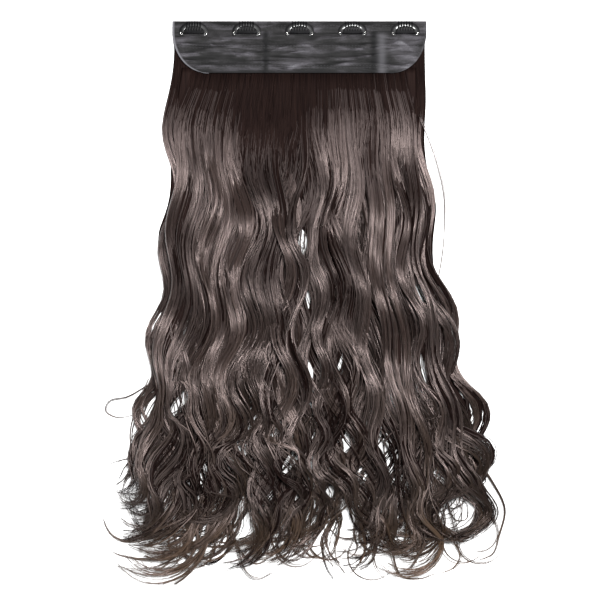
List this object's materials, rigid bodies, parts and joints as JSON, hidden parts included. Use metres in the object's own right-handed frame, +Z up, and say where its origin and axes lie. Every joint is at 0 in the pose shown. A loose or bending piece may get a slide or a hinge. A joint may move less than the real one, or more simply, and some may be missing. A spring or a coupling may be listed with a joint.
{
  "type": "clip in hair extension",
  "caption": "One-piece clip-in extension of long dark brown wavy hair, sewn in rows under a grey lace band with snap comb clips along its top edge, lying flat with the clip side up.",
  "frame": {"origin": "under the middle of the whole piece, on the surface that it lies on", "axes": "+Y from the hair's ends towards the band's top edge, +X to the right seen from the clip side, +Z up out of the clip side"},
  "size_m": [0.395, 0.5392, 0.0235],
  "materials": {
    "lace": "grey net ribbon, matt with a faint sheen",
    "hair": "dark brown synthetic hair with a soft shine",
    "clip": "glossy black painted spring steel"
  },
  "bodies": {
    "extension": {"lace_band": "lace", "hair_row_upper": "hair", "hair_row_middle": "hair", "hair_row_lower": "hair", "clip_frame_1": "clip", "clip_frame_2": "clip", "clip_frame_3": "clip", "clip_frame_4": "clip", "clip_frame_5": "clip"},
    "comb_1": {"clip_comb_1": "clip"},
    "comb_2": {"clip_comb_2": "clip"},
    "comb_3": {"clip_comb_3": "clip"},
    "comb_4": {"clip_comb_4": "clip"},
    "comb_5": {"clip_comb_5": "clip"}
  },
  "joints": [
    {"name": "comb_1_hinge", "type": "hinge", "parent": "extension", "child": "comb_1", "pos_m": [-0.09431, 0.25706, 0.00729], "axis": [1, 0, 0], "range_deg": [0, 70]},
    {"name": "comb_2_hinge", "type": "hinge", "parent": "extension", "child": "comb_2", "pos_m": [-0.04231, 0.25706, 0.00729], "axis": [1, 0, 0], "range_deg": [0, 70]},
    {"name": "comb_3_hinge", "type": "hinge", "parent": "extension", "child": "comb_3", "pos_m": [0.00968, 0.25706, 0.00729], "axis": [1, 0, 0], "range_deg": [0, 70]},
    {"name": "comb_4_hinge", "type": "hinge", "parent": "extension", "child": "comb_4", "pos_m": [0.06168, 0.25706, 0.00729], "axis": [1, 0, 0], "range_deg": [0, 70]},
    {"name": "comb_5_hinge", "type": "hinge", "parent": "extension", "child": "comb_5", "pos_m": [0.11368, 0.25706, 0.00729], "axis": [1, 0, 0], "range_deg": [0, 70]}
  ]
}
